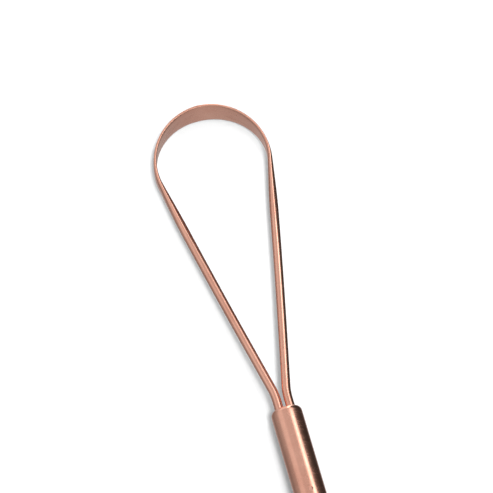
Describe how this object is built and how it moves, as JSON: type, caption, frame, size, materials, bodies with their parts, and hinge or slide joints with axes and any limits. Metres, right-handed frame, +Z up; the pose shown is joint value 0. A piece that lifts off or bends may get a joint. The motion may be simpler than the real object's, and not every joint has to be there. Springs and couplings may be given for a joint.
{
  "type": "hawthorne strainer",
  "caption": "Copper-finished hawthorne cocktail strainer: perforated plate with ears, coil spring gate, round neck and an open loop handle forged flat at its bow.",
  "frame": {"origin": "centre of the plate's flat raised top face", "axes": "+Y along the handle towards its loop, +Z up out of the plate's top face, +X across the ears"},
  "size_m": [0.104, 0.2071, 0.0148],
  "materials": {
    "copper_rod": "polished copper plate over steel, satin on the flat band",
    "copper_polished": "polished copper plate over steel",
    "copper_satin": "satin copper plate over steel",
    "braze": "filed braze filler, copper plated",
    "copper_plate": "copper plate over pressed steel sheet, lightly brushed",
    "copper_wire": "drawn spring wire, copper plated"
  },
  "bodies": {
    "strainer": {"handle_loop": "copper_rod", "neck_sleeve": "copper_polished", "neck_core": "copper_satin", "braze_fill": "braze", "neck_pin": "copper_satin", "tang_strap": "copper_polished", "plate_rivets": "copper_polished", "strainer_plate": "copper_plate"},
    "spring": {"coil_spring": "copper_wire"}
  },
  "joints": [
    {"name": "spring_squeeze", "type": "slide", "parent": "strainer", "child": "spring", "axis": [0, 1, 0], "range_m": [0, 0.004], "stiffness_N_per_m": 500, "deforming": ["coil_spring"]}
  ]
}
